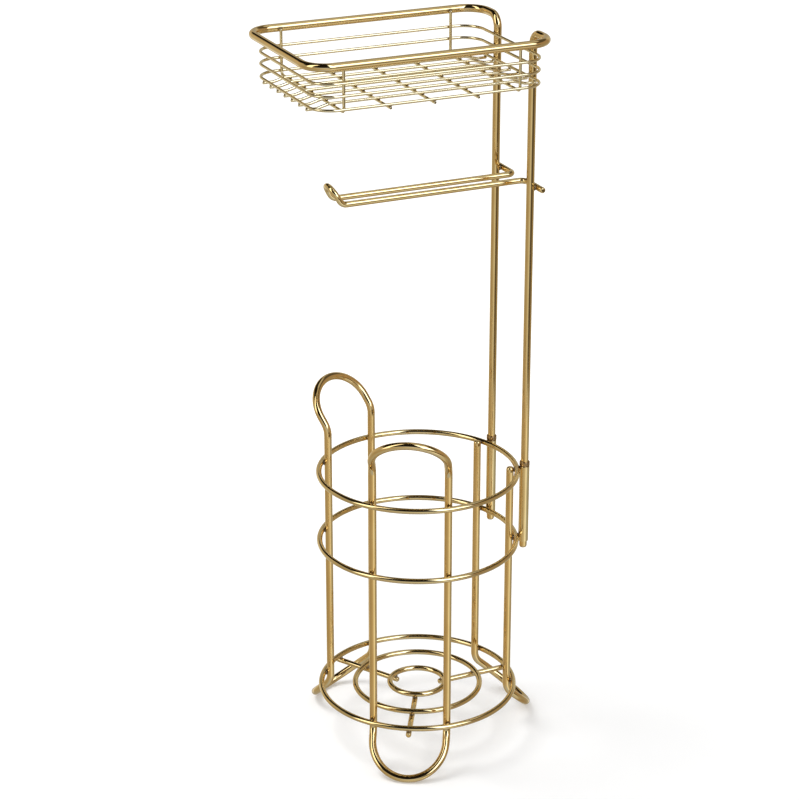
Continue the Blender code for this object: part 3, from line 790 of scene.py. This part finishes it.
# %% Weld points as meshes
def weld_points(body):
    """A mesh of bare points, one for each weld, with facing and size."""
    data = bpy.data.meshes.new(f"{body}_weld_points")
    data.from_pydata([place for place, facing, size in welds[body]], [], [])
    data.attributes.new("facing", "FLOAT_VECTOR", "POINT")
    data.attributes.new("weld_size", "FLOAT", "POINT")
    for index, (place, facing, size) in enumerate(welds[body]):
        data.attributes["facing"].data[index].vector = facing
        data.attributes["weld_size"].data[index].value = size
    return add_object(data.name, data)


weld_helpers = {body: weld_points(body) for body in welds}
print("helpers:", [helper.name for helper in weld_helpers.values()])

# %% [markdown]
# ## From a path to a finished piece
# A path becomes a bare edge mesh, the tree sweeps it, and the result is kept as a plain mesh that
# rides on its body and stands for its CAD node. The print line compares the two boxes, which shows
# a misplaced wire at once. Each kind of wire has its diameter, its body and its lowest height.

# %% Helpers that make and enter a piece
NO_FLOOR = -1.0
WIRES = {
    "frame": (FRAME_WIRE, "cage", 0.0),
    "ring": (RING_WIRE, "cage", NO_FLOOR),
    "pole": (POLE_WIRE, "upper_frame", NO_FLOOR),
    "basket": (BASKET_WIRE, "upper_frame", NO_FLOOR),
    "arm": (ARM_WIRE, "upper_frame", NO_FLOOR),
}
SIDES = 28
SOFT_END_SHARE = 0.35
SOFT_END_STEPS = (0.0, 0.04, 0.12, 0.25, 0.45, 0.70, 1.0)


def run_tree(piece, tree, settings):
    """Run the tree on the piece with these inputs and keep the result as a plain mesh."""
    modifier = piece.modifiers.new(tree.name, "NODES")
    modifier.node_group = tree
    for item in tree.interface.items_tree:
        if item.item_type == "SOCKET" and item.in_out == "INPUT" and item.name in settings:
            modifier[item.identifier] = settings[item.name]
    bpy.context.view_layer.update()
    graph = bpy.context.evaluated_depsgraph_get()
    made = bpy.data.meshes.new_from_object(piece.evaluated_get(graph), depsgraph=graph,
                                           preserve_all_data_layers=True)
    piece.modifiers.clear()
    piece.data = made
    made.name = piece.name


def farthest_off(piece, node):
    """How far the boxes of the piece and its CAD node differ at most, in mm."""
    low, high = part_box(node)
    gaps = []
    for axis in range(3):
        values = [vertex.co[axis] for vertex in piece.data.vertices]
        gaps += [abs(min(values) - low[axis]), abs(max(values) - high[axis])]
    return round(1000 * max(gaps), 3)


def enter(piece, body, node):
    """The piece rides on its body and stands for its CAD node."""
    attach(piece, body)
    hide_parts(node)
    nodes_left.discard(node)
    off = farthest_off(piece, node)
    print(f"{piece.name}: {len(piece.data.polygons)} faces, box within {off} mm")


def soft_ends(points, diameter):
    """Add close points by both ends of an open path, where the wire gets thinner."""
    reach = SOFT_END_SHARE * diameter
    first, last = points[1] - points[0], points[-2] - points[-1]
    head = [points[0] + first.normalized() * reach * step for step in SOFT_END_STEPS]
    tail = [points[-1] + last.normalized() * reach * step for step in reversed(SOFT_END_STEPS)]
    return head + points[1:-1] + tail


def sweep_wire(node, points, kind, rise=0.0, side="pole_side", closed=False):
    """Sweep a wire of that kind along the points and let it stand for the CAD node."""
    diameter, body, lowest = WIRES[kind]
    finish = f"gold_{kind}_wire"
    place = cage_place(side) if body == "cage" else upper_place
    points = points if closed else soft_ends(points, diameter)
    points = divided([place @ (point + UP * rise) for point in points], closed)
    count = len(points)
    edges = [(index, (index + 1) % count) for index in range(count if closed else count - 1)]
    data = bpy.data.meshes.new(f"{node}_path")
    data.from_pydata(points, edges, [])
    piece = add_object(f"{node}_wire", data)
    run_tree(piece, sweep, {
        "Diameter": diameter, "Sides": SIDES, "End softening": SOFT_END_SHARE * diameter,
        "Lowest height": lowest, "Welds": weld_helpers[body], "Finish": golds[finish]})
    enter(piece, body, node)


print("each wire has", SIDES, "sides")

# %% [markdown]
# ## The cage rings
# Five level rings of thinner wire, each an endless loop. Each row gives node, radius, height over
# the base and number of steps.

# %% Sweep the rings
RINGS = (
    ("base_ring_outer", CAGE_RING_RADIUS, 0, 240),
    ("base_ring_middle", BASE_MIDDLE_RADIUS, 0, 180),
    ("base_ring_inner", BASE_INNER_RADIUS, 0, 120),
    ("cage_ring_middle", CAGE_RING_RADIUS, MIDDLE_RING_RISE, 240),
    ("cage_ring_top", CAGE_RING_RADIUS, TOP_RING_RISE, 240),
)

for name, ring_radius, rise, steps in RINGS:
    sweep_wire(name, circle(ring_radius, steps), "ring", rise, closed=True)

# %% [markdown]
# Three straight wires lie under the base rings and tie them together.

# %% Sweep the spokes
SPOKE_TAIL = 0.0012

spoke_height = -(RING_WIRE + WELD_GAP)
spoke_inner = BASE_INNER_RADIUS - RING_WIRE / 2 - SPOKE_TAIL
spoke_outer = CAGE_RING_RADIUS + RING_WIRE / 2 + SPOKE_TAIL
spoke = [Vector((reach, 0, spoke_height)) for reach in (spoke_inner, spoke_outer)]
for side in SIDE_TURNS:
    sweep_wire(f"base_spoke_{side}", spoke, "ring", side=side)

# %% [markdown]
# ## Legs, feet and carry handles
# Two hairpins are endless wires: up one leg, over the leaning handle, down the other leg and round
# the sloping foot. The third pair of legs stands by the poles and is cut off at the top ring.

# %% Sweep the legs
FOOT_BEND_DROP = 0.0011
FOOT_BEND_RADIUS = 0.0150
FOOT_SLOPE_ANGLE = 42.9
FOOT_STRAIGHT = 0.0026
FOOT_BOW_RISE = 0.0321
HANDLE_BEND_RISE = 0.0238
HANDLE_BEND_RADIUS = 0.0172
HANDLE_LEAN_ANGLE = 36.5
HANDLE_STRAIGHT = 0.0052
HANDLE_BOW_RISE = 0.0265

slope, lean = math.radians(FOOT_SLOPE_ANGLE), math.radians(HANDLE_LEAN_ANGLE)
down_foot = Vector((math.cos(slope), 0, -math.sin(slope)))
up_handle = Vector((math.sin(lean), 0, math.cos(lean)))
foot_run = bend_run(FOOT_BEND_RADIUS, 90.0 - FOOT_SLOPE_ANGLE)
handle_run = bend_run(HANDLE_BEND_RADIUS, HANDLE_LEAN_ANGLE)


def leg_point(sign, rise):
    """A point on one leg of a pair."""
    return Vector((leg_reach, sign * half_spacing, rise))


def foot_corners(sign):
    """The end of a foot's straight run and the corner of its bend, from the floor up."""
    corner = leg_point(sign, -(FOOT_BEND_DROP + foot_run))
    return [corner + down_foot * (foot_run + FOOT_STRAIGHT), corner]


def handle_corners(sign):
    """The corner of a handle's bend and the end of its straight run, going up."""
    corner = leg_point(sign, TOP_RING_RISE + HANDLE_BEND_RISE + handle_run)
    return [corner, corner + up_handle * (handle_run + HANDLE_STRAIGHT)]


def hairpin_path():
    """Two legs in one endless wire."""
    radii = [FOOT_BEND_RADIUS, HANDLE_BEND_RADIUS]
    rear, front = [bent_path(foot_corners(sign) + handle_corners(sign), radii) for sign in (1, -1)]
    over = bow(rear[-1], front[-1], up_handle * HANDLE_BOW_RISE)
    under = bow(front[0], rear[0], down_foot * FOOT_BOW_RISE)
    return rear + over + front[::-1] + under


def cut_pair_path():
    """The pair of legs by the poles, joined by its foot."""
    top = TOP_RING_RISE + RING_WIRE / 2
    rear, front = [bent_path(foot_corners(sign) + [leg_point(sign, top)], [FOOT_BEND_RADIUS])
                   for sign in (1, -1)]
    return rear[::-1] + bow(rear[0], front[0], down_foot * FOOT_BOW_RISE) + front


for side in ("rear", "front"):
    sweep_wire(f"{side}_hairpin", hairpin_path(), "frame", side=side, closed=True)
sweep_wire("pole_side_frame", cut_pair_path(), "frame")

# %% [markdown]
# ## Sockets and stop beads
# Two tubes outside the rings take the poles, and a collar on each pole stops it at the tube's
# mouth. Each is a closed profile spun about an axis, so that it has a real bore.

# %% Spin the turned parts
SOCKET_UNDER_RING = 0.0049
SOCKET_OVER_RING = 0.0011
SOCKET_LIP = 0.0002
LIP_SUPPORT = 0.0002
WALL_ROWS = 6
BEAD_STEP = 0.0001
BEAD_HEIGHT = 0.0038
BEAD_ROUNDING = 0.0006
BEAD_LIP = 0.0001
BEAD_CLEARANCE = 0.00005
TURNED_STEPS = 56
LIP_STEPS = 4
MERGE_DISTANCE = 0.000001
SHARP_ANGLE = 55

socket_top = TOP_RING_RISE + SOCKET_OVER_RING
socket_bottom = MIDDLE_RING_RISE - SOCKET_UNDER_RING


def wall_rows(start, end):
    """Rows along a wall, the outer two close to its lips, which would bend its shading."""
    close = math.copysign(LIP_SUPPORT, end - start)
    reach = end - start - 2 * close
    return [start + close + reach * row / WALL_ROWS for row in range(WALL_ROWS + 1)]


def rounded_profile(inner, outer, height, inner_lip, outer_lip):
    """A closed profile of a tube's wall: radius and height pairs with rounded corners."""
    corners = ((inner, 0, inner_lip, 180), (outer, 0, outer_lip, 270),
               (outer, height, outer_lip, 0), (inner, height, inner_lip, 90))
    profile = []
    for radius, level, lip, start in corners:
        middle = radius + lip if radius == inner else radius - lip
        centre = level + lip if level == 0 else level - lip
        for step in range(LIP_STEPS + 1):
            turn = math.radians(start + 90 * step / LIP_STEPS)
            profile.append((middle + lip * math.cos(turn), centre + lip * math.sin(turn)))
        if start in (270, 90):
            end = height - lip if start == 270 else lip
            profile += [(radius, row) for row in wall_rows(profile[-1][1], end)]
    return profile


def turn_part(node, profile, place, body, finish):
    """Spin a closed profile about Z at its place and let it stand for the CAD node."""
    lathe = bmesh.new()
    corners = [lathe.verts.new((radius, 0, level)) for radius, level in profile]
    edges = [lathe.edges.new((corner, corners[index - 1])) for index, corner in enumerate(corners)]
    bmesh.ops.spin(lathe, geom=corners + edges, cent=(0, 0, 0), axis=(0, 0, 1), dvec=(0, 0, 0),
                   angle=2 * math.pi, steps=TURNED_STEPS, use_merge=True)
    bmesh.ops.remove_doubles(lathe, verts=lathe.verts, dist=MERGE_DISTANCE)
    bmesh.ops.recalc_face_normals(lathe, faces=lathe.faces)
    data = bpy.data.meshes.new(f"{node}_turned")
    lathe.to_mesh(data)
    lathe.free()
    straight = data.attributes.new("wire_space", "FLOAT_VECTOR", "POINT")
    for index, vertex in enumerate(data.vertices):
        straight.data[index].vector = vertex.co
    data.transform(Matrix.Translation(place))
    data.shade_smooth()
    data.set_sharp_from_angle(angle=math.radians(SHARP_ANGLE))
    data.materials.append(golds[finish])
    piece = add_object(f"{node}_part", data)
    run_tree(piece, note_tree, {"Welds": weld_helpers[body]})
    enter(piece, body, node)


note_tree, note_in, note_out = new_group(
    "weld_notes", "GeometryNodeTree", [("Part", GEOMETRY), ("Welds", OBJECT)],
    [("Part", GEOMETRY)])
distance = weld_distance(note_tree, note_in["Welds"])
noted = note(note_tree, note_in["Part"], "weld_distance", "FLOAT", distance)
feed(note_tree, note_out["Part"], noted)
print("turned parts have", TURNED_STEPS, "steps")

# %% Set the sockets and the beads
socket_profile = rounded_profile(socket_bore / 2, socket_outer / 2, socket_top - socket_bottom,
                                 SOCKET_LIP, SOCKET_LIP)
bead_profile = rounded_profile(POLE_WIRE / 2 + BEAD_CLEARANCE, socket_outer / 2 + BEAD_STEP,
                               BEAD_HEIGHT, BEAD_LIP, BEAD_ROUNDING)
for side, sign in (("rear", 1), ("front", -1)):
    pole_foot = upper_middle + ACROSS * (sign * half_spacing)
    socket_place = pole_foot + UP * socket_bottom
    bead_place = pole_foot + UP * (socket_top + SLIDING_GAP)
    turn_part(f"{side}_pole_socket", socket_profile, socket_place, "cage", "gold_socket_tube")
    turn_part(f"{side}_stop_bead", bead_profile, bead_place, "upper_frame", "gold_stop_bead")

# %% [markdown]
# ## Poles and shelf rim
# The two poles and the rim of the shelf are one wire, bent like the handle of a bucket.

# %% Sweep the rim with its poles
RIM_CORNER_RADIUS = 0.0180
POLE_BEND_RADIUS = 0.0096
POLE_TAIL = 0.0060

rim_corners = []
for sign in (1, -1):
    pole, edge = sign * half_spacing, sign * RIM_WIDTH / 2
    run = [(0, pole, socket_bottom - POLE_TAIL), (0, pole, RIM_HEIGHT),
           (0, edge, RIM_HEIGHT), (-RIM_LENGTH, edge, RIM_HEIGHT)]
    rim_corners += run if sign > 0 else run[::-1]
side_radii = [POLE_BEND_RADIUS, RIM_CORNER_RADIUS, RIM_CORNER_RADIUS]
sweep_wire("rim_and_poles", bent_path(rim_corners, side_radii + side_radii[::-1]), "pole")

# %% [markdown]
# ## The shelf basket
# Three closed rails, two hoops that rise to the rim, three straight cross wires and seven long
# wires. The long wires lie on the cross wires and dip under the ends of the lowest rail.

# %% Sweep the rails and the hoops
HOOP_CORNER_RADIUS = 0.0030


def rail_path():
    """A closed rectangle with rounded corners, which fits outside the hoops."""
    start = (basket_middle, rail_half_width, 0)
    far = [(rail_far_end, side, 0) for side in (rail_half_width, -rail_half_width)]
    near = [(rail_pole_end, side, 0) for side in (-rail_half_width, rail_half_width)]
    return bent_path([start, *far, *near, start], [RAIL_CORNER_RADIUS] * 4)[:-1]


def hoop_path(place):
    """A cross wire under the floor whose ends rise inside the rails."""
    rear = [(place, hoop_half_width, height) for height in (RIM_HEIGHT, cross_height)]
    front = [(place, -hoop_half_width, height) for height in (cross_height, RIM_HEIGHT)]
    return bent_path(rear + front, [HOOP_CORNER_RADIUS] * 2)


for name, drop in zip(("upper_rail", "middle_rail", "lower_rail"), RAIL_DROPS):
    sweep_wire(name, rail_path(), "basket", RIM_HEIGHT - drop, closed=True)
sweep_wire("basket_hoop_far_end", hoop_path(cross_places[0]), "basket")
sweep_wire("basket_hoop_pole_end", hoop_path(cross_places[-1]), "basket")

# %% Sweep the floor of the basket
DIP_START = 0.0040
DIP_RUN = 0.0100
DIP_BEND_RADIUS = 0.0120


def long_wire_path(across):
    """A wire along the floor that dips under the ends of the lowest rail."""
    far_dip = basket_middle - hoop_span / 2 - DIP_START
    near_dip = basket_middle + hoop_span / 2 + DIP_START
    low = floor_height - wire_stack
    corners = [(rail_far_end - BASKET_WIRE / 2, low), (far_dip - DIP_RUN, low),
               (far_dip, floor_height), (near_dip, floor_height),
               (near_dip + DIP_RUN, low), (rail_pole_end + BASKET_WIRE / 2, low)]
    corners = [(place, across, level) for place, level in corners]
    return bent_path(corners, [DIP_BEND_RADIUS] * 4)


cross_reach = rail_half_width + BASKET_WIRE / 2
for index, place in enumerate(cross_places[1:-1], start=1):
    ends = [Vector((place, reach, cross_height)) for reach in (cross_reach, -cross_reach)]
    sweep_wire(f"floor_cross_wire_{index}", ends, "basket")
for index, across in enumerate(long_places, start=1):
    sweep_wire(f"floor_long_wire_{index}", long_wire_path(across), "basket")

# %% [markdown]
# ## The roll arm
# A long hairpin under the shelf carries the roll in use. Its closed tip turns up to keep the roll
# on, and its two ends turn outwards across the poles.

# %% Sweep the arm
ARM_REACH = 0.1497
ARM_SPACING = 0.0180
ARM_BEND_RADIUS = 0.0060
CROSSBAR_OVERHANG = 0.0105
TIP_BEND_RADIUS = 0.0067
TIP_LIFT_ANGLE = 60.2
TIP_STRAIGHT = 0.0020

crossbar = POLE_WIRE / 2 + WELD_GAP + ARM_WIRE / 2
lift = math.radians(TIP_LIFT_ANGLE)
up_tip = Vector((-math.cos(lift), 0, math.sin(lift)))
tip_run = bend_run(TIP_BEND_RADIUS, TIP_LIFT_ANGLE) + TIP_STRAIGHT
arm_sides = []
for sign in (1, -1):
    side = sign * ARM_SPACING / 2
    tip_corner = Vector((-ARM_REACH, side, 0))
    corners = [(crossbar, sign * (half_spacing + CROSSBAR_OVERHANG), 0), (crossbar, side, 0),
               tip_corner, tip_corner + up_tip * tip_run]
    arm_sides.append(bent_path(corners, [ARM_BEND_RADIUS, TIP_BEND_RADIUS]))
rear_side, front_side = arm_sides
tip = bow(rear_side[-1], front_side[-1], up_tip * (ARM_SPACING / 2))
sweep_wire("roll_arm", rear_side + tip + front_side[::-1], "arm", arm_height)

# %% [markdown]
# ## The weld nuggets
# One squashed ball is set on every weld point, turned to face across the gap and varied a little in
# size by a fixed seed. All nuggets of one body become one mesh.

# %% Build the nugget tree and set the nuggets
NUGGET_ACROSS = 0.46
NUGGET_THROUGH = 0.30
SMALLEST, LARGEST = 0.86, 1.14
NUGGET_ROUNDS = 3
NUGGET_SEED = 7

nugget, nugget_in, nugget_out = new_group(
    "weld_nuggets", "GeometryNodeTree",
    [("Points", GEOMETRY), ("Across", NUMBER), ("Through", NUMBER), ("Seed", COUNT),
     ("Finish", FINISH)],
    [("Nuggets", GEOMETRY)])


def read_weld(name, kind):
    """A value that the weld points carry."""
    node = add_node(nugget, "GeometryNodeInputNamedAttribute", {"Name": name}, data_type=kind)
    return node.outputs["Attribute"]


ball = add_node(nugget, "GeometryNodeMeshIcoSphere", {"Radius": 1.0, "Subdivisions": NUGGET_ROUNDS})
aligned = add_node(nugget, "FunctionNodeAlignRotationToVector",
                   {"Vector": read_weld("facing", "FLOAT_VECTOR")}, axis="Z")
varied = add_node(nugget, "FunctionNodeRandomValue",
                  {"Min": SMALLEST, "Max": LARGEST, "Seed": nugget_in["Seed"]}, data_type="FLOAT")
nugget_size = times(nugget, read_weld("weld_size", "FLOAT"), varied.outputs["Value"])
across = times(nugget, nugget_size, nugget_in["Across"])
through = times(nugget, nugget_size, nugget_in["Through"])
squash = add_node(nugget, "ShaderNodeCombineXYZ", {"X": across, "Y": across, "Z": through})
set_down = add_node(nugget, "GeometryNodeInstanceOnPoints", {
    "Points": nugget_in["Points"], "Instance": ball.outputs["Mesh"],
    "Rotation": aligned.outputs["Rotation"], "Scale": squash.outputs[0]})
nuggets_made = finished(nugget, set_down.outputs["Instances"], nugget_in["Finish"])
feed(nugget, nugget_out["Nuggets"], nuggets_made)

for body, slot in (("cage", "gold_ring_wire"), ("upper_frame", "gold_basket_wire")):
    nuggets = add_object(f"{body}_weld_nuggets", weld_helpers[body].data.copy())
    run_tree(nuggets, nugget, {"Across": NUGGET_ACROSS, "Through": NUGGET_THROUGH,
                               "Seed": NUGGET_SEED, "Finish": golds["gold_weld"]})
    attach(nuggets, body)
    print(f"{nuggets.name}: {len(nuggets.data.polygons)} faces")

# %% Tidy up and measure
for helper in weld_helpers.values():
    bpy.data.objects.remove(helper, do_unlink=True)
print("CAD nodes still shown:", sorted(nodes_left))
new_low, new_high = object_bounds()
growth = [new - old for new, old in zip((*new_low, *new_high), (*cad_low, *cad_high))]
print("box grows by, in mm:", [round(1000 * value, 3) for value in growth])
